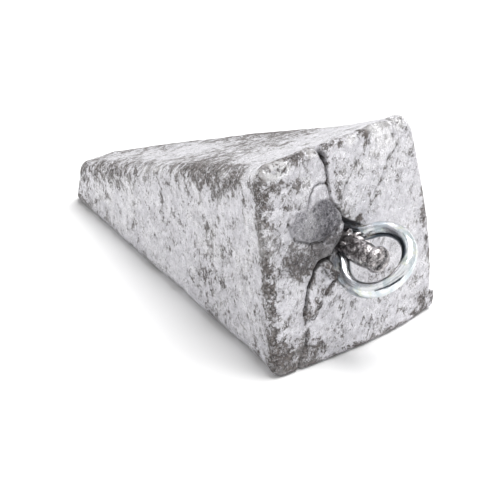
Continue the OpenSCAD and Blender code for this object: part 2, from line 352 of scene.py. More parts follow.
def face_tone(x, y):
    """For the wide end: how thickly oxide lies, with painted shade at the left and bottom rims and in the
    dimple below the lobe; how dull the lobes are, with painted shade on the thumb lobe and in the hollow
    round the wire; and the painted shade in the shuts, folds and crevices.
    """
    w, v = on_face(x, y)
    flat, dw, dv = waver(w, v)
    w, v = w + dw, v + dv
    # Painted shade: near black in the crevices round the wire, in the shuts, folds and grooves, and along the
    # lobes' outlines
    crease_shade = np.zeros(len(w))
    faint = 0.25 + 0.75 * smooth(ripple(flat, 1.7, 27, 3), -0.35, 0.45)
    for line, wide, share in (*((line, 0.16, 1.0) for line in CREVICES), *CREASE_SHADE_LINES):
        d, _ = from_line(w, v, line)
        crease_shade = np.maximum(crease_shade, share * bell(d, wide, 4) * (1 if share == 1 else faint))
    d, t = from_line(w, v, TOP_SHUT)
    crease_shade = np.maximum(crease_shade, bell(d, 0.08 + 0.34 * (1 - t) ** 1.6, 4))
    d, t = from_line(w, v, LOW_SHUT)
    crease_shade = np.maximum(crease_shade, bell(d, 0.13 + 0.05 * np.sin(5 * t), 4) * smooth(1 - t, 0, 0.1))
    thumb, knuckle, under = inside(w, v, THUMB), inside(w, v, KNUCKLE), inside(w, v, UNDER_THUMB)
    for d, wide, share, where in ((thumb, 0.07, 0.9, smooth(-v, -5.0, -4.2)),
                                  (knuckle, 0.06, 0.9, smooth(v, 5.0, 5.6)),
                                  (under, 0.08, 0.6, 1), (inside(w, v, NUGGET), 0.08, 0.7, 1)):
        crease_shade = np.maximum(crease_shade, share * bell(d + 0.05, wide) * where * faint)
    w, v = w + 1.5 * dw, v + 1.5 * dv
    oxide_and_shade = 0.23 + 0.16 * smooth(-w, 2.5, 7.5) + 0.20 * smooth(-w, 8.0, 9.4)
    oxide_and_shade += 0.12 * smooth(-w, 3.5, 6.0) * smooth(-v, 4.0, 7.0)
    # Dense oxide in the dimple below the lobe, which also stands for painted shade in it
    oxide_and_shade += 0.75 * spot(w, v, -5.6, -0.1, 2.9, 1.2)
    # Darker along the left rim, oxide with painted shade in its rounded edge; along the top; along the bottom
    # rim, painted shade where it meets the table; and along the right rim
    oxide_and_shade += 0.52 * smooth(-w, 9.2, 10.1) + 0.35 * smooth(v - 0.04 * w, 9.0, 9.9) * smooth(-w, -9, 3)
    oxide_and_shade += 0.25 * smooth(v, 9.6, 10.2) + 0.55 * smooth(-v, 9.7, 10.4) + 0.5 * smooth(w, 10.1, 10.8)
    oxide_and_shade += 0.15 * np.exp(-((w + 8.6) ** 2 / 5 + (v - 8.4) ** 2 / 0.5))
    for cx, cy, r, more in STAINS:
        oxide_and_shade += more * np.exp(-((w - cx) ** 2 + (v - cy) ** 2) / r**2)
    for line, wide, more in SOOT_LINES:
        d, _ = from_line(w, v, line)
        oxide_and_shade += more * bell(d, wide)
    oxide_and_shade += 0.55 * smooth(under, -0.1, 0.3) + 0.5 * smooth(inside(w, v, NUGGET), 0, 0.3)
    oxide_and_shade += 0.33 * smooth(inside(w, v, LEAF), -0.2, 0.3)
    on_thumb = smooth(thumb, -0.05, 0.3)
    oxide_and_shade = oxide_and_shade * (1 - 0.6 * on_thumb)
    back = smooth(to_upper_leg(w, v), -0.6, 0.9)
    pit = smooth(inside(w, v, MOUTH_RIM), 0.0, 0.7)
    dull_and_shade = np.maximum.reduce([
        # The thumb lobe's own dull grey, with painted shade that deepens towards its right
        on_thumb * (0.73 + 0.27 * smooth(w, -5.8, -3.0)),
        0.45 * smooth(under, 0, 0.3),
        # Painted shade in the dimple below the lobe
        0.30 * spot(w, v, -5.4, -0.1, 2.8, 1.1),
        0.35 * smooth(knuckle, 0, 0.5) * smooth(-v, -6.2, -5.0),
        # Painted shade in the hollow round the wire, deeper on the side towards the upper leg
        pit * (0.10 + 0.35 * back),
    ])
    return oxide_and_shade, dull_and_shade, crease_shade


def side_oxide_and_shade(x, y, depth):
    """How thickly dark oxide lies on the long sides and the tip, with painted shade along the low long edges
    and at the left rim.
    """
    half = half_at(depth)
    left, right, low, top = half + x, half - x, half + y, half - y
    at_end = 1 - smooth(depth, 12, 20)
    oxide_and_shade = 0.35 + 0.06 * at_end + 0.08 * smooth(y, 0, half) * smooth(depth, 4, 12)
    on_top, on_left = bell(top, 0.8), bell(left, 0.8)
    oxide_and_shade += on_top * (0.24 * bell(depth - 13, 4.5) - 0.16 * (1 - smooth(depth, 5, 9))
                      - 0.12 * smooth(depth, 18, 22))
    oxide_and_shade += 0.14 * smooth(depth, 36, 40) - 0.03 * on_left
    along = 0.55 + 0.45 * np.sin(0.23 * depth + 0.4)
    oxide_and_shade += (0.34 + 0.16 * along) * bell(np.maximum(left, top), 1.8 + 0.5 * along) * smooth(depth, 0.8, 4)
    oxide_and_shade += 0.30 * bell(np.maximum(right, top), 1.3) * smooth(depth, 8, 20)
    oxide_and_shade += 0.50 * on_top * bell(right, 3.0) * smooth(depth, 9, 15)
    # Painted shade along the two low long edges, where they curve in above the table
    oxide_and_shade += 0.30 * bell(np.maximum(left, low), 1.2)
    oxide_and_shade += 0.20 * bell(np.maximum(right, low), 1.2)
    # Painted shade in the rounded left rim next to the wide end
    oxide_and_shade += 0.56 * bell(left, 1.0) * (1 - smooth(depth, 0.6, 1.6))
    oxide_and_shade += 0.30 * bell(top, 1.0) * (1 - smooth(depth, 0.3, 1.2))
    oxide_and_shade += 0.25 * smooth(depth, BODY_LEN - 2.0, BODY_LEN) * smooth(-y, -1.0, 1.5)
    return oxide_and_shade


def wear_and_highlight_at(points, depth):
    """Where handling has rubbed the rims and long edges bright, with painted highlights on patches of the
    upper rim.
    """
    x, y = points[:, 0], points[:, 1]
    half = half_at(depth)
    rim = bell(depth - 0.25, 0.35)
    edge = bell(np.maximum(half + x, half - y), 0.8) * 0.8
    patch = smooth(ripple(points, 2.4, 91, 3), -0.15, 0.6)
    upper = 0.35 + 0.65 * smooth(y, 6.0, 9.0)
    wear_and_highlight = np.maximum(np.maximum(rim * upper, edge), 0.32 * bell(half + x, 0.8)) * patch
    # Painted highlights on the upper rim
    for cx, cy, rx, more in RIM_HIGHLIGHTS:
        wear_and_highlight += more * spot(x, y, cx, cy, rx, RIM_HIGHLIGHT_H) * (1 - smooth(depth, 0.6, 1.2))
    return np.clip(wear_and_highlight, 0, 1)


def section(depth, inset, steps):
    """Outline of the cross-section, anticlockwise from the middle of the bottom left corner's arc."""
    h = half_at(depth) - inset
    top = half_at(depth) * TOP_SHARE - inset
    bottom = half_at(depth) * BOTTOM_SHARE - inset
    lift = CORNER_LIFT * left_over(depth, LIFT_RUN) ** 2
    lift = lift + EDGE_SWELL * math.sin(math.pi * np.clip(depth / BODY_LEN, 0, 1))
    swell = math.sin(math.pi / 2 * (1 - left_over(depth, EDGE_RUN)))
    to_tip = max(0, depth - EDGE_RUN) / (BODY_LEN - EDGE_RUN)
    radii = []
    for edge, rim in zip(EDGE_SHARES, RIM_EDGE_SHARES):
        share = rim + (1 - rim) * swell + (TIP_EDGE_SHARE - 1) * to_tip
        radii.append(max(RIM_R * LEAST_R_SHARE, EDGE_R * edge * share - inset))
    r1, r2, r3, r4 = radii
    middles = [(r1 - bottom, r1 - h, r1, 180), (bottom - r2, r2 - h, r2, 270),
               (top - r3, h + lift - r3, r3, 0), (r4 - top, h - r4, r4, 90)]
    ring = []
    for here, after in zip(middles, middles[1:] + middles[:1]):
        arc = []
        for (cx, cy, r, start), later in ((here, 45), (after, 0)):
            for a in np.radians(np.linspace(start + later, start + later + 45, 9)):
                arc.append((cx + r * math.cos(a), cy + r * math.sin(a)))
        arc = np.array(arc)
        gone = np.concatenate([[0], np.cumsum(np.linalg.norm(np.diff(arc, axis=0), axis=1))])
        at = np.linspace(0, gone[-1], steps, endpoint=False)
        ring.append(np.column_stack([np.interp(at, gone, arc[:, 0]), np.interp(at, gone, arc[:, 1])]))
    return np.vstack(ring)


def crowned_ring(depth, inset, steps):
    """A cross-section drawn out with the crown and the lean of the tip, in the casting's own frame."""
    flat = section(depth, inset, steps)
    lean = TIP_LEAN * left_over(BODY_LEN - depth, LEAN_RUN) ** 2 / half_at(depth)
    rise = crown_at(flat[:, 0], flat[:, 1]) * left_over(depth, EDGE_RUN) + lean * flat[:, 1]
    slope = section(depth - 1, inset, steps) - section(depth, inset, steps)
    flat = flat + slope * rise[:, None]
    return np.column_stack([flat, rise - depth])


RIM_STEPS, TIP_STEPS, RING_GAP = 8, 10, 0.3


def quads(*corners):
    """Faces from the numbers of their four corners, one grid of numbers for each corner."""
    return np.column_stack([corner.ravel() for corner in corners]).tolist()


def casting_grid(cells):
    """Points and faces of the smooth casting: a grid on the wide end, then rings down to the tip."""
    points, faces = [], []
    rim = crowned_ring(0, RIM_R, cells)
    n = cells + 1
    a, b = np.meshgrid(np.linspace(-1, 1, n), np.linspace(-1, 1, n))
    a, b = a.ravel(), b.ravel()
    k = np.maximum(np.abs(a), np.abs(b))
    k_safe = np.maximum(k, 1e-9)
    qa, qb = a / k_safe, b / k_safe
    # Way round the border, from 0 to 4, to where a line from the middle through each place meets it
    t = np.where(qb <= -1 + 1e-9, (qa + 1) / 2,
                 np.where(qa >= 1 - 1e-9, 1 + (qb + 1) / 2,
                          np.where(qb >= 1 - 1e-9, 2 + (1 - qa) / 2, 3 + (1 - qb) / 2)))
    wrap = np.vstack([rim, rim[:1]])
    at = np.linspace(0, 4, len(wrap))
    x = k * np.interp(t, at, wrap[:, 0])
    y = k * np.interp(t, at, wrap[:, 1])
    points.append(np.column_stack([x, y, crown_at(x, y)]))
    index = np.arange(n * n).reshape(n, n)
    faces += quads(index[:-1, :-1], index[:-1, 1:], index[1:, 1:], index[1:, :-1])
    border = np.concatenate([index[0, :-1], index[:-1, -1], index[-1, :0:-1], index[:0:-1, 0]])
    count = n * n

    def add_ring(ring):
        nonlocal count
        points.append(ring)
        count += len(ring)
        return np.arange(count - len(ring), count)

    def grow(ring):
        nonlocal last
        ring = add_ring(ring)
        faces.extend(quads(np.roll(last, -1), last, ring, np.roll(ring, -1)))
        last = ring

    last = border
    for i in range(1, RIM_STEPS + 1):
        angle = math.pi / 2 * i / RIM_STEPS
        grow(crowned_ring(RIM_R * (1 - math.cos(angle)), RIM_R * (1 - math.sin(angle)), cells))
    # Half as many points round the long sides
    depth = RIM_R + 0.25
    ring = add_ring(crowned_ring(depth, 0, cells // 2))
    for i in range(len(ring)):
        j, k0, k1, k2 = (i + 1) % len(ring), 2 * i, 2 * i + 1, (2 * i + 2) % len(last)
        for face in ((last[k0], ring[i], last[k1]), (last[k1], ring[i], ring[j]),
                     (last[k1], ring[j], last[k2])):
            faces.append([int(corner) for corner in face])
    last = ring
    stations = []
    while depth < BODY_LEN - TIP_R - RING_GAP:
        depth += RING_GAP + RING_GAP * depth / BODY_LEN
        stations.append((min(depth, BODY_LEN - TIP_R), 0))
    for i in range(1, TIP_STEPS + 1):
        angle = math.pi / 2 * i / TIP_STEPS
        stations.append((BODY_LEN - TIP_R * (1 - math.sin(angle)), TIP_R * (1 - math.cos(angle))))
    for station in stations:
        grow(crowned_ring(*station, cells // 2))
    tip = points[-1]
    for share in (0.75, 0.5, 0.25):
        grow(tip * share - [0, 0, BODY_LEN * (1 - share)])
    points.append(np.array([[0.0, 0.0, -BODY_LEN]]))
    for i in range(len(last)):
        faces.append([int(last[(i + 1) % len(last)]), int(last[i]), count])
    return np.vstack(points), faces


def vertex_normals(points, faces):
    """Normal at each point of a mesh."""
    normals = np.zeros_like(points)
    for size in (3, 4):
        f = np.array([face for face in faces if len(face) == size])
        second = f[:, 1 if size == 4 else 0]
        cross = np.cross(points[f[:, size - 2]] - points[f[:, 0]], points[f[:, size - 1]] - points[second])
        for k in range(size):
            for axis in range(3):
                normals[:, axis] += np.bincount(f[:, k], cross[:, axis], len(points))
    return normals / np.maximum(np.linalg.norm(normals, axis=1), 1e-12)[:, None]


def add_object(name, data):
    """A new object at the origin, in the scene."""
    obj = bpy.data.objects.new(name, data)
    bpy.context.scene.collection.objects.link(obj)
    return obj


def new_mesh(name, points, faces, material):
    """A smooth-shaded mesh object at the origin, from points in metres."""
    mesh = bpy.data.meshes.new(name)
    mesh.from_pydata(points.tolist(), [], faces)
    mesh.update()
    mesh.polygons.foreach_set("use_smooth", [True] * len(mesh.polygons))
    mesh.materials.append(material)
    return add_object(name, mesh)


def set_values(obj, name, values):
    """A number at each point that the material reads by name."""
    attribute = obj.data.attributes.new(name, "FLOAT", "POINT")
    attribute.data.foreach_set("value", np.ascontiguousarray(values, np.float32))


def make_casting(material, low, high):
    """The cast lead body with its folds, shuts and worn edges, and the painted shade and highlights that its
    finish reads.
    """
    points, faces = casting_grid(FACE_CELLS)
    normals = vertex_normals(points, faces)
    x, y, z = points.T
    crown = crown_at(x, y)
    depth = np.maximum(0, crown * left_over(np.maximum(0, -z), EDGE_RUN) - z)
    on_end = (1 - smooth(depth, 0.4, 2.2)) * (np.hypot(x, y) > 0)
    rough = 0.05 * ripple(points, 2.6, 41, 3) + 0.09 * ripple(points * [1, 1, 0.35], 3.4, 47, 2) - 0.01
    rough = rough * smooth(depth, 0.2, 1.2)
    rise = relief(x, y)
    bare = np.where(on_end > 0.9, bare_leg(x, y, crown + rise) - crown, rise)
    cut = smooth(rise - bare, 0.05, 0.4)
    push = bare * on_end + rough
    moved = points + normals * push[:, None]
    fx, fy, fz = FLASH_PLACE
    lump = FLASH_R * (1 + 0.25 * ripple(points, 0.9, 83, 2))
    along = np.where(y < fy, 0.42, 1.3) * (y - fy)
    out = fx + np.sqrt(np.clip(lump**2 - along**2 - (0.8 * (z - fz)) ** 2, 0, None))
    moved[:, 0] = np.where((x > fx - 0.4) & (out > fx), np.maximum(moved[:, 0], out), moved[:, 0])
    world = np.clip(lay(moved), np.array(low) + [BOX_MARGIN, BOX_MARGIN, 0], np.array(high) - BOX_MARGIN)
    obj = new_mesh("casting", world, faces, material)
    oxide_and_shade, dull_and_shade, crease_shade = face_tone(x, y)
    oxide_and_shade += 0.3 * (out > fx)
    fade = 1 - smooth(depth, 0.3, 1.0)
    # Oxide, with painted shade at some rims, edges and hollows
    set_values(obj, "oxide_and_shade", np.clip(oxide_and_shade * fade + side_oxide_and_shade(x, y, depth) * (1 - fade), 0, 1.6))
    set_values(obj, "dull_and_shade", dull_and_shade * fade)
    # Painted shade in the creases, and where lead was cut back to bare the leg
    set_values(obj, "crease_shade", np.maximum(crease_shade, 0.3 * cut) * (1 - smooth(depth, 0.6, 1.6)))
    # Worn edges, with painted highlights on the upper rim
    set_values(obj, "wear_and_highlight", wear_and_highlight_at(points, depth))
    return obj


def drooped(points):
    """From the eye's frame, its plane XZ and Z up the loop, to the casting's own frame."""
    x, y, z = points.T
    c, s = math.cos(EYE_TURN), math.sin(EYE_TURN)
    x, y = x * c - y * s, x * s + y * c
    c, s = math.cos(EYE_DROOP), math.sin(EYE_DROOP)
    y, z = y * c - z * s, y * s + z * c
    return np.column_stack([x + EYE_X, y + EYE_Y, z - DROOP_DEPTH])


def eye_path(spacing):
    """Middle line of the wire in the casting's own frame: foot, leg, neck, ring, neck, leg, foot."""
    leg_x = LEG_PITCH / 2
    neck_angle = math.atan2(RING_RISE, leg_x + NECK_R)
    loop = []
    for i in range(int(NECK_R * neck_angle / spacing) + 1):
        a = math.pi - i * spacing / NECK_R
        loop.append((leg_x + NECK_R + NECK_R * math.cos(a), 0, NECK_R * math.sin(a)))
    for i in range(int(RING_R * (math.pi / 2 + neck_angle) / spacing) + 1):
        a = -neck_angle + i * spacing / RING_R
        loop.append((RING_R * math.cos(a), 0, RING_RISE + RING_R * math.sin(a)))
    right = drooped(np.array(loop))
    left = drooped(np.array(loop) * [-1, 1, 1])

    def leg(start, side):
        turn = EYE_TURN + (0 if side > 0 else math.pi)
        out = np.array([math.cos(turn), math.sin(turn), 0])
        down = np.array([0, 0, -1.0])
        points = [start + down * step for step in np.arange(spacing, LEG_LEN, spacing)]
        elbow = start + down * LEG_LEN
        foot = math.sin(FOOT_ANGLE) * out + math.cos(FOOT_ANGLE) * down
        points += [elbow + foot * step for step in np.arange(spacing, FOOT_LEN, spacing)]
        return points

    path = leg(right[0], 1)[::-1] + list(right) + list(left[::-1]) + leg(left[0], -1)
    path = np.array(path)
    for _ in range(3):
        path[1:-1] = path[1:-1] * 0.5 + (path[:-2] + path[2:]) * 0.25
    return path


def wire_nodes(material):
    """Node tree that sweeps round wire along a line of points, and the identifiers of its two sizes.

    It keeps the way along the wire and the turn round it, which the wire's finish reads.
    """
    tree = bpy.data.node_groups.new("round_wire", "GeometryNodeTree")
    _, radius, sides, _ = (
        tree.interface.new_socket(name, in_out=way, socket_type="NodeSocket" + kind)
        for name, way, kind in (("Path", "INPUT", "Geometry"), ("Wire radius", "INPUT", "Float"),
                                ("Sides", "INPUT", "Int"), ("Wire", "OUTPUT", "Geometry")))
    start, end = tree.nodes.new("NodeGroupInput"), tree.nodes.new("NodeGroupOutput")
    line = add_node(tree, "MeshToCurve", Mesh=start.outputs["Path"])
    line = add_node(tree, "StoreNamedAttribute", Geometry=line.outputs["Curve"], Name="along",
                    Value=add_node(tree, "SplineParameter").outputs["Length"])
    circle = add_node(tree, "CurvePrimitiveCircle", Resolution=start.outputs["Sides"],
                      Radius=start.outputs["Wire radius"])
    circle = add_node(tree, "StoreNamedAttribute", Geometry=circle.outputs["Curve"], Name="around",
                      Value=add_node(tree, "SplineParameter").outputs["Factor"])
    wire = add_node(tree, "CurveToMesh", Curve=line.outputs["Geometry"],
                    Profile_Curve=circle.outputs["Geometry"], Fill_Caps=True)
    wire = add_node(tree, "SetShadeSmooth", Geometry=wire.outputs["Mesh"])
    wire = add_node(tree, "RealizeInstances", Geometry=wire.outputs["Geometry"])
    wire = add_node(tree, "SetMaterial", Geometry=wire.outputs["Geometry"], Material=material)
    fill(tree, end.inputs["Wire"], wire.outputs["Geometry"])
    return tree, radius.identifier, sides.identifier


def make_eye(material):
    """The bent wire eye, swept along its path and baked to a plain mesh."""
    path = lay(eye_path(WIRE_STEP))
    mesh = bpy.data.meshes.new("eye_path")
    mesh.from_pydata(path.tolist(), [(i, i + 1) for i in range(len(path) - 1)], [])
    guide = add_object("eye_path", mesh)
    tree, radius, sides = wire_nodes(material)
    modifier = guide.modifiers.new("wire", "NODES")
    modifier.node_group = tree
    modifier[radius] = WIRE_D / 2 * MM
    modifier[sides] = WIRE_SIDES
    bpy.context.view_layer.update()
    depsgraph = bpy.context.evaluated_depsgraph_get()
    baked = bpy.data.meshes.new_from_object(guide.evaluated_get(depsgraph))
    baked.name = "eye_wire"
    obj = add_object("eye_wire", baked)
    bpy.data.objects.remove(guide)
    paint_eye_reflections(obj, path)
    return obj


def paint_eye_reflections(obj, path):
    """Painted dark reflections on the zinc: along the inner side of the ring, in a band down the left leg,
    and round the wire's back.
    """
    points = np.array([v.co for v in obj.data.vertices])
    middle = np.repeat(path, WIRE_SIDES, 0)[: len(points)]
    frame_points = lay(drooped(np.array([[0, 0, 0], [1, 0, 0], [0, 1, 0], [0, 0, 1.0]])))
    across, out, up = (frame_points[1:] - frame_points[0]) / MM
    local = (middle - frame_points[0]) / MM
    angle = np.arctan2(local @ up - RING_RISE, local @ across)
    angle = np.where(angle < -math.pi / 2, angle + 2 * math.pi, angle)
    inward = -np.cos(angle)[:, None] * across - np.sin(angle)[:, None] * up
    turn = np.degrees(np.arctan2(((points - middle) * inward).sum(1), ((points - middle) * out).sum(1)))
    angle = np.degrees(angle)
    turn += 6 * ripple(points / MM, 1.2, 95, 2)
    leave = smooth(angle, 55, 92)
    start = (40 - 0.72 * angle) * (1 - leave) + (54 + 12 * smooth(angle, 150, 190)) * leave
    # Painted dark reflection along the inner side of the ring, with a thin painted dark line beside it
    dark = smooth(turn, start - 5, start + 9) * smooth(-turn, -150, -130) * (1 - 0.25 * leave)
    line = bell(turn - start + 26, 7) * 0.45 * (1 - leave)
    # Painted dark reflection in a band down the left leg
    leg = bell(turn - 6, 11) * smooth(angle, 188, 212) * smooth(-angle, -238, -222) * 0.75
    # Painted dark reflection on the side of the wire turned most away from the eye's out axis
    edge = smooth(np.abs(turn), 150, 178) * 0.4
    set_values(obj, "dark_reflection", np.clip(np.maximum.reduce([dark, line, leg, edge]), 0, 1))


def chipped(place, radii, flats, depth, seed, light):
    """A lump with flats broken off it, each flat with a painted tone of its own for the light it catches, in
    the stub's own frame.
    """
    ball, faces = ball_mesh(44, 64)
    random = np.random.default_rng(seed)
    ball = ball * (1 + 0.05 * ripple(ball, 0.7, seed, 2))[:, None]
    tones = np.full(len(ball), light)
    for _ in range(flats):
        way = random.normal(size=3)
        way /= np.linalg.norm(way)
        over = ball @ way - random.uniform(depth, depth + 0.16)
        ball -= np.outer(np.maximum(0, over) * 0.97, way)
        # Each flat gets a random painted tone, as lit or shaded
        tones[over > 0] = light + random.uniform(-0.5, 0.5)
    ball = ball + 0.012 * np.column_stack([ripple(ball, 0.3, seed + k, 2) for k in (1, 2, 3)])
    return ball * radii + place, faces, tones


def make_stub(material):
    """The broken stub of lead in the neck of the eye: a round core, a bead and lumps with flats."""
    rings, turns = 90, 64
    z = np.linspace(-0.6, STUB_LEN, rings)
    r = np.interp(z, [-0.6, 0.5, 1.6, 2.8, 3.9, 4.4, STUB_LEN],
                  [1.1, 1.12, 1.18, STUB_R + 0.07, 1.2, 1.1, 0.85])
    angle = np.linspace(0, 2 * math.pi, turns, endpoint=False)
    zz, aa = (grid.ravel() for grid in np.meshgrid(z, angle, indexing="ij"))
    rr = np.repeat(r, turns)
    core = np.column_stack([rr * np.cos(aa) - 0.2, rr * np.sin(aa) + STUB_SHIFT, zz])
    core += 0.05 * np.column_stack([ripple(core, 1.1, k, 2) for k in (51, 52, 53)])
    index = np.arange(rings * turns).reshape(rings, turns)
    side = np.roll(index, -1, 1)
    faces = quads(index[:-1], side[:-1], side[1:], index[1:])
    core = np.vstack([core, core[index[0]].mean(0), core[index[-1]].mean(0)])
    for i in range(turns):
        j = (i + 1) % turns
        faces.append([int(index[0, j]), int(index[0, i]), rings * turns])
        faces.append([int(index[-1, i]), int(index[-1, j]), rings * turns + 1])
    bead, bead_faces = ball_mesh(60, 90)
    bead = bead * (1 + 0.03 * ripple(bead, 0.9, 55, 3))[:, None] * BEAD_RADII
    bead = bead + [-0.06, STUB_SHIFT, STUB_LEN + 0.10]
    # Painted tones of the core and the bead
    shells = (core, faces, 0.35), (bead, bead_faces, 0.42)
    return broken_piece("sprue_stub", shells, STUB_LUMPS, material)


def broken_piece(name, shells, lumps, material):
    """One piece of broken lead from closed shells and chipped lumps in the stub's own frame."""
    points, faces, tones, count = [], [], [], 0
    for shell, shell_faces, shell_tones in (*shells, *(chipped(*lump) for lump in lumps)):
        points.append(shell)
        tones.append(np.broadcast_to(shell_tones, len(shell)))
        faces += [[k + count for k in face] for face in shell_faces]
        count += len(shell)
    obj = new_mesh(name, lay(drooped(np.vstack(points))), faces, material)
    # Painted lightness of each lump and flat
    set_values(obj, "light", np.clip(np.concatenate(tones), 0, 1))
    return obj


def ball_mesh(rings, turns):
    """Points and faces of a round ball of radius 1."""
    points, faces = [(0.0, 0.0, -1.0)], []
    for i in range(1, rings):
        a = math.pi * i / rings
        for j in range(turns):
            b = 2 * math.pi * j / turns
            points.append((math.sin(a) * math.cos(b), math.sin(a) * math.sin(b), -math.cos(a)))
    points.append((0.0, 0.0, 1.0))
    last = len(points) - 1
    for j in range(turns):
        k = (j + 1) % turns
        faces.append([0, 1 + k, 1 + j])
        for i in range(rings - 2):
            a = 1 + i * turns
            faces.append([a + j, a + k, a + turns + k, a + turns + j])
        faces.append([last - turns + j, last - turns + k, last])
    return np.array(points), faces


# Finishes

# Turn of the brushed streaks round the casting's length, as an Euler angle in radians
BRUSHED = (0, -0.95, 0)


def fill(tree, socket, value):
    """Links a socket to another one, or gives it a value."""
    if isinstance(value, bpy.types.NodeSocket):
        tree.links.new(value, socket)
    else:
        socket.default_value = value


def add_node(tree, kind, **inputs):
    """A new node of the tree's own sort; an underscore in the name of an input stands for a space."""
    node = tree.nodes.new(tree.bl_idname.removesuffix("Tree") + kind)
    for name, value in inputs.items():
        fill(tree, node.inputs[name.replace("_", " ")], value)
    return node


def blended(tree, share, a, b):
    """One colour laid over another by a share."""
    node = add_node(tree, "Mix")
    node.data_type = "RGBA"
    for name, value in (("Factor", share), ("A", a), ("B", b)):
        fill(tree, node.inputs[name], (*value, 1) if isinstance(value, tuple) else value)
    return node.outputs["Result"]


class Finish:
    """A material whose nodes are added one line at a time, in millimetres."""

    def __init__(self, name):
        self.material = bpy.data.materials.new(name)
        self.material.use_nodes = True
        self.tree = self.material.node_tree
        metres = self.add("TexCoord").outputs["Object"]
        self.place = self.add("Mapping", Vector=metres, Scale=(1000, 1000, 1000)).outputs["Vector"]

    def add(self, kind, **inputs):
        return add_node(self.tree, kind, **inputs)

    def noise(self, scale, detail, roughness=0.6, distortion=0.0, place=None):
        return self.add("TexNoise", Vector=place or self.place, Scale=scale, Detail=detail,
                        Roughness=roughness, Distortion=distortion).outputs["Fac"]

    def stretched(self, scale, turn):
        node = self.add("Mapping", Vector=self.place, Scale=scale, Rotation=turn)
        node.vector_type = "TEXTURE"
        return node.outputs["Vector"]

    def read(self, name):
        node = self.add("Attribute")
        node.attribute_name = name
        return node.outputs["Fac"]

    def math(self, operation, a, b=0.0, c=0.0):
        node = self.add("Math")
        node.operation = operation
        for socket, value in zip(node.inputs, (a, b, c)):
            fill(self.tree, socket, value)
        return node.outputs["Value"]

    def times(self, a, b):
        return self.math("MULTIPLY", a, b)

    def plus(self, a, b):
        return self.math("ADD", a, b)

    def line(self, a, slope, start):
        return self.math("MULTIPLY_ADD", a, slope, start)

    def step(self, value, low, high, to_low=0.0, to_high=1.0):
        node = self.add("MapRange", Value=value, From_Min=low, From_Max=high, To_Min=to_low, To_Max=to_high)
        node.interpolation_type = "SMOOTHSTEP"
        return node.outputs["Result"]

    def blend(self, share, a, b):
        return blended(self.tree, share, a, b)

    def over(self, base, *layers):
        for share, colour in layers:
            base = self.blend(share, base, colour)
        return base

    def bump(self, height, deep_mm):
        return self.add("Bump", Strength=1.0, Distance=deep_mm * MM, Height=height).outputs["Normal"]

    def done(self, **values):
        shader = self.tree.nodes["Principled BSDF"]
        for name, value in values.items():
            fill(self.tree, shader.inputs[name.replace("_", " ")], value)
        return self.material


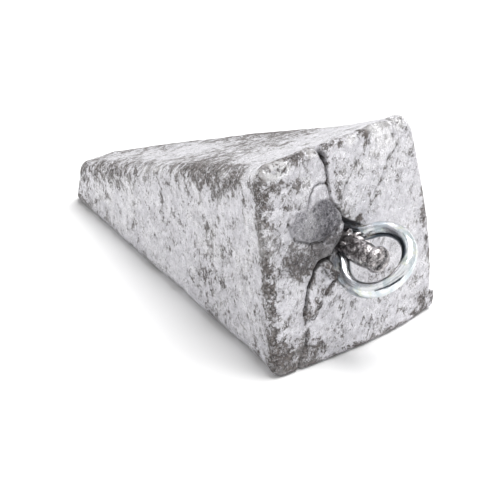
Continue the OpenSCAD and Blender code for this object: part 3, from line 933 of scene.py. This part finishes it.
def lead_finish():
    """Pale cast lead: mottled, brushed skin, dark oxide with painted shade at some edges and hollows, bright
    worn edges with painted highlights, painted glints, and near-black painted shade in the shuts.
    """
    f = Finish("cast_lead")
    oxide_and_shade, dull_and_shade, crease_shade, wear_and_highlight = (f.read(name) for name in ("oxide_and_shade", "dull_and_shade", "crease_shade", "wear_and_highlight"))
    grit = f.noise(6.0, 5.0, 0.75)
    flecks = f.noise(1.9, 8.0, 0.76, 0.5, f.stretched((1.5, 1.0, 1.0), BRUSHED))
    clots = f.noise(0.8, 9.0, 0.74, 0.6)
    streaks = f.noise(5.0, 4.0, 0.65, 0.3, f.stretched((9.0, 1.0, 1.0), BRUSHED))
    mottle = f.plus(f.times(clots, 0.34), f.line(flecks, 0.46, f.times(grit, 0.20)))
    patches = f.plus(f.line(f.noise(0.17, 3.0, 0.6), -0.14, 0.072),
                     f.line(f.noise(0.5, 2.0, 0.5), -0.12, 0.06))
    # Dark specks thicken with the oxide and with the painted shade carried in it
    start = f.plus(f.line(oxide_and_shade, -0.135, 0.589), patches)
    dark = f.step(mottle, start, f.plus(start, 0.011))
    haze = f.step(mottle, f.math("SUBTRACT", start, 0.035), f.plus(start, 0.005))
    speck = f.step(grit, f.line(oxide_and_shade, -0.10, 0.655), f.line(oxide_and_shade, -0.10, 0.70))
    glints = f.step(f.noise(3.2, 5.0, 0.8), 0.53, 0.58, 1.0, 0.12)
    dark = f.times(f.math("MAXIMUM", dark, f.times(speck, 0.85)), glints)
    grain = f.step(f.noise(7.5, 3.0, 0.6), 0.36, 0.60)
    hair = f.math("ABSOLUTE", f.math("SUBTRACT", f.noise(0.9, 5.0, 0.62, 0.8), 0.5))
    hair = f.times(f.step(hair, 0.016, 0.0), f.step(f.noise(0.55, 2.0), 0.46, 0.58))
    marks = f.noise(3.4, 3.0, 0.6, 0.8, f.stretched((6.0, 1.0, 1.0), BRUSHED))
    marks = f.times(f.step(marks, 0.60, 0.66), f.step(f.noise(0.8, 2.0), 0.42, 0.56))
    tone = f.noise(1.1, 6.0, 0.66, 0.3)
    pale = f.over(
        f.blend(f.step(tone, 0.34, 0.66), (0.60, 0.59, 0.625), (0.86, 0.85, 0.89)),
        (f.times(haze, 0.55), (0.40, 0.385, 0.385)),
        (f.step(streaks, 0.54, 0.70, 0.0, 0.25), (0.30, 0.295, 0.305)),
        # Painted glints: near-white specks where the grit noise is low
        (f.step(grit, 0.45, 0.33, 0.0, 0.6), (0.97, 0.96, 0.985)),
        (f.line(grain, -0.08, 0.08), (0.20, 0.19, 0.195)))
    taupe = f.blend(f.step(f.noise(2.8, 6.0, 0.8), 0.43, 0.58), (0.014, 0.012, 0.011), (0.20, 0.172, 0.16))
    taupe = f.blend(f.times(grain, 0.22), taupe, (0.42, 0.37, 0.35))
    smoky = f.over(
        f.blend(f.step(f.noise(2.4, 7.0, 0.8), 0.39, 0.61), (0.045, 0.045, 0.055), (0.35, 0.34, 0.37)),
        (f.line(grain, -0.55, 0.55), (0.03, 0.028, 0.032)),
        # Painted glints: paler specks on the dull lobes where the grit noise is low
        (f.step(grit, 0.50, 0.38, 0.0, 0.5), (0.62, 0.60, 0.63)))
    rubbed_and_highlit = f.times(wear_and_highlight, f.step(tone, 0.40, 0.48))
    smeared = f.times(f.times(dull_and_shade, glints), f.step(streaks, 0.50, 0.62, 0.0, 0.8))
    colour = f.over(
        pale,
        (f.times(dark, 0.96), taupe),
        (f.times(hair, 0.75), (0.07, 0.06, 0.06)),
        (f.times(marks, 0.65), (0.10, 0.09, 0.09)),
        # Dull grey lobes, with painted shade on the thumb lobe and in the hollows
        (dull_and_shade, smoky),
        (smeared, (0.06, 0.058, 0.065)),
        # Near-white worn edges and painted rim highlights
        (f.times(rubbed_and_highlit, 0.90), (0.97, 0.96, 0.97)),
        # Painted shade, near black, in the shuts, folds and crevices
        (f.times(crease_shade, 0.94), (0.012, 0.011, 0.012)))
    skin = f.plus(f.noise(1.7, 8.0, 0.74, 0.3), f.times(streaks, 0.14))
    skin = f.plus(skin, f.times(f.noise(3.6, 4.0, 0.7), f.times(oxide_and_shade, 0.30)))
    height = f.line(dark, -0.30, skin)
    cover = f.math("MAXIMUM", dark, crease_shade)
    return f.done(
        Base_Color=colour, Metallic=f.line(cover, -0.65, 0.84),
        Roughness=f.math("SUBTRACT", f.plus(f.step(skin, 0.45, 0.85, 0.24, 0.44), f.times(cover, 0.25)),
                         f.times(rubbed_and_highlit, 0.12)),
        Normal=f.bump(height, 0.23))


def wire_finish():
    """Bright zinc on steel wire, with painted dark reflections inside the ring, blue and straw tints and
    faint lines.
    """
    f = Finish("zinc_wire")
    along, around, dark_reflection = f.read("along"), f.read("around"), f.read("dark_reflection")
    unrolled = f.add("CombineXYZ", X=f.times(along, 350.0), Y=f.times(around, 26.0))
    lines = f.noise(1.0, 4.0, 0.6, 0.0, unrolled.outputs["Vector"])
    cloud = f.noise(0.8, 5.0, 0.65, 0.6)
    colour = f.over(
        f.blend(f.step(cloud, 0.38, 0.62), (0.56, 0.62, 0.65), (0.80, 0.81, 0.83)),
        (f.step(f.noise(1.1, 4.0, 0.6, 0.8), 0.54, 0.62, 0.0, 0.45), (0.66, 0.68, 0.52)),
        (f.step(lines, 0.54, 0.70, 0.0, 0.6), (0.36, 0.40, 0.42)),
        (f.step(f.noise(3.0, 4.0, 0.7), 0.66, 0.72), (0.12, 0.13, 0.13)),
        # Painted dark reflections inside the ring and down the left leg
        (f.times(dark_reflection, 0.93), (0.035, 0.05, 0.065)))
    return f.done(Base_Color=colour, Metallic=1.0, Roughness=f.step(lines, 0.3, 0.75, 0.10, 0.22),
                  Normal=f.bump(f.line(cloud, 1.5, lines), 0.012))


def stub_finish():
    """Dark, glossy lead where the stub broke and froze, lighter where a lump or flat is painted as catching
    light.
    """
    f = Finish("broken_lead")
    light = f.read("light")
    # The painted tone of each lump and flat lightens it
    tone = f.plus(f.noise(1.7, 6.0, 0.75, 0.3), f.line(light, 0.40, -0.20))
    colour = f.blend(f.step(tone, 0.36, 0.60), (0.075, 0.066, 0.068), (0.78, 0.74, 0.74))
    colour = f.blend(f.step(f.noise(5.0, 5.0, 0.75), 0.56, 0.62), colour, (0.05, 0.042, 0.040))
    return f.done(Base_Color=colour, Metallic=f.line(light, -0.35, 0.95),
                  Roughness=f.step(tone, 0.35, 0.65, 0.12, 0.24),
                  Normal=f.bump(f.noise(3.2, 6.0, 0.7), 0.05))


# Studio, in metres and watts

TABLE_HALF = 3.0
TABLE_TONE = (0.86, 0.86, 0.86)
# The table as it is seen: from and to these distances, its white goes from and to these tones
TABLE_FADE = (0.10, 0.40, 1.12, 2.6)
ROOM_LIGHT = 0.48

# The camera as it was fitted to the photograph's corners, its focal length and shift in pixels
CAMERA_TURN = math.radians(41.6)
CAMERA_HEIGHT = math.radians(27.6)
CAMERA_ROLL = math.radians(0.89)
CAMERA_FAR = 0.1327
CAMERA_PIXELS = 1400.0
PICTURE_PIXELS = 500
AIM_SHIFT = (-110.1, 0.3)
SENSOR_W = 36.0


def rectangle(name, x, y):
    """A flat rectangle with half sizes x and y, in metres."""
    mesh = bpy.data.meshes.new(name)
    mesh.from_pydata([(-x, -y, 0), (x, -y, 0), (x, y, 0), (-x, y, 0)], [], [(0, 1, 2, 3)])
    return add_object(name, mesh)


def bare_material(name, obj):
    """Node tree of a new material on an object, without a shader yet, and where a shader goes."""
    material = bpy.data.materials.new(name)
    material.use_nodes = True
    obj.data.materials.append(material)
    tree = material.node_tree
    tree.nodes.remove(tree.nodes["Principled BSDF"])
    return tree, tree.nodes["Material Output"].inputs["Surface"]


def any_ray(tree, *kinds):
    """1 for rays of any of some kinds."""
    rays = add_node(tree, "LightPath")
    seen = rays.outputs[kinds[0]]
    for kind in kinds[1:]:
        either = add_node(tree, "Math")
        either.operation = "MAXIMUM"
        fill(tree, either.inputs[0], seen)
        fill(tree, either.inputs[1], rays.outputs[kind])
        seen = either.outputs["Value"]
    return seen


def make_floor():
    """White table, as bright as an overexposed photograph shows it, that keeps the sinker's tight shadow."""
    obj = rectangle("table", TABLE_HALF, TABLE_HALF)
    tree, surface = bare_material("white_table", obj)
    far = add_node(tree, "VectorMath")
    far.operation = "LENGTH"
    fill(tree, far.inputs[0], add_node(tree, "TexCoord").outputs["Object"])
    near_at, far_at, near_tone, far_tone = TABLE_FADE
    white = add_node(tree, "MapRange", Value=far.outputs["Value"], From_Min=near_at, From_Max=far_at,
                     To_Min=near_tone, To_Max=far_tone)
    seen = any_ray(tree, "Is Camera Ray", "Is Glossy Ray")
    shader = add_node(tree, "BsdfDiffuse", Color=blended(tree, seen, TABLE_TONE, white.outputs["Result"]))
    fill(tree, surface, shader.outputs["BSDF"])


def make_card(name, place, aim, width, height, tone):
    """A plain card that only shows in the metal, as the dark or bright side of a studio does."""
    obj = rectangle(name, width / 2, height / 2)
    obj.matrix_world = facing(place, aim)
    obj.visible_camera = obj.visible_diffuse = obj.visible_shadow = False
    tree, surface = bare_material(name, obj)
    glow = add_node(tree, "Emission", Color=(*tone, 1))
    fill(tree, surface, glow.outputs["Emission"])


def transform(x, y, z, place):
    """Transform of a thing from its axes and its place."""
    return Matrix([[x[i], y[i], z[i], place[i]] for i in range(3)] + [[0, 0, 0, 1]])


def facing(place, aim):
    """Transform of a thing at a place whose Z axis points away from where it looks."""
    z = np.array(place, float) - np.array(aim, float)
    z /= np.linalg.norm(z)
    x = np.cross([0, 0, 1] if abs(z[2]) < 0.99 else [0, 1, 0], z)
    x /= np.linalg.norm(x)
    y = np.cross(z, x)
    return transform(x, y, z, place)


def make_world():
    """Even studio light, white where it is seen."""
    world = bpy.data.worlds.new("studio")
    bpy.context.scene.world = world
    world.use_nodes = True
    tree = world.node_tree
    light = tree.nodes["Background"]
    fill(tree, light.inputs["Color"], (1, 1, 1, 1))
    fill(tree, light.inputs["Strength"], ROOM_LIGHT)
    white = add_node(tree, "Background", Color=(1, 1, 1, 1), Strength=1.0)
    seen = any_ray(tree, "Is Camera Ray", "Is Glossy Ray", "Is Transmission Ray")
    mix = add_node(tree, "MixShader", Fac=seen)
    fill(tree, mix.inputs[1], light.outputs["Background"])
    fill(tree, mix.inputs[2], white.outputs["Background"])
    fill(tree, tree.nodes["World Output"].inputs["Surface"], mix.outputs["Shader"])


def make_lamp(name, place, aim, size, power):
    """A soft square lamp that points at a place."""
    data = bpy.data.lights.new(name, "AREA")
    data.shape = "SQUARE"
    data.size = size
    data.energy = power
    add_object(name, data).matrix_world = facing(place, aim)


def make_camera():
    """Camera at the photograph's angle, low on the left of the wide end."""
    level, roll = math.cos(CAMERA_HEIGHT), CAMERA_ROLL
    back = np.array([-math.sin(CAMERA_TURN) * level, -math.cos(CAMERA_TURN) * level, math.sin(CAMERA_HEIGHT)])
    right = np.cross(-back, [0, 0, 1])
    right /= np.linalg.norm(right)
    up = np.cross(right, -back)
    right, up = math.cos(roll) * right + math.sin(roll) * up, math.cos(roll) * up - math.sin(roll) * right
    edge_y = -MM * (BODY_LEN * math.cos(TAPER) + (HALF_BASE - HALF_TIP) * math.sin(TAPER)) / 2
    aim = np.array([0, edge_y, MM * HALF_BASE])
    aside, above = (shift / CAMERA_PIXELS for shift in AIM_SHIFT)
    place = aim + CAMERA_FAR * (back + aside * right + above * up)
    data = bpy.data.cameras.new("camera")
    data.sensor_width = SENSOR_W
    data.lens = CAMERA_PIXELS / PICTURE_PIXELS * SENSOR_W
    data.clip_start = 0.005
    data.clip_end = 20
    camera = add_object("camera", data)
    camera.matrix_world = transform(right, up, back, place)
    bpy.context.scene.camera = camera


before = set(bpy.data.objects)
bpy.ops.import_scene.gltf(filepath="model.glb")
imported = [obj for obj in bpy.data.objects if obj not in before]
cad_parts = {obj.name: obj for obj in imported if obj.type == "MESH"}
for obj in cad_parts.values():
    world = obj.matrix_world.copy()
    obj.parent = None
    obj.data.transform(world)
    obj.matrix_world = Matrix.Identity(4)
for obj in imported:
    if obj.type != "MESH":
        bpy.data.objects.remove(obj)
cad_box = [list(corner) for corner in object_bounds()]
bpy.context.scene.view_settings.view_transform = "Standard"

make_camera()
make_world()
make_floor()
make_lamp("key", (0.10, -0.06, 0.45), (0, 0, 0), 0.30, 1.75)
make_card("dark_front", (-0.22, -0.28, 0.08), (0, -0.02, 0.01), 0.50, 0.15, (0.03, 0.035, 0.05))
make_card("dark_bar", (-0.22, -0.24, 0.30), (0, -0.02, 0.01), 0.40, 0.035, (0.05, 0.055, 0.07))
make_card("dark_back", (0.30, 0.42, 0.13), (0, 0, 0.01), 0.40, 0.10, (0.25, 0.25, 0.27))

casting = make_casting(lead_finish(), *cad_box)
broken_lead = stub_finish()
stub = make_stub(broken_lead)
knobs = broken_piece("sprue_knobs", (), KNOB_LUMPS, broken_lead)
for piece in (casting, stub, knobs):
    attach(piece, "root")
    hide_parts("lead_body")

eye = make_eye(wire_finish())
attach(eye, "root")
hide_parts("wire_eye")
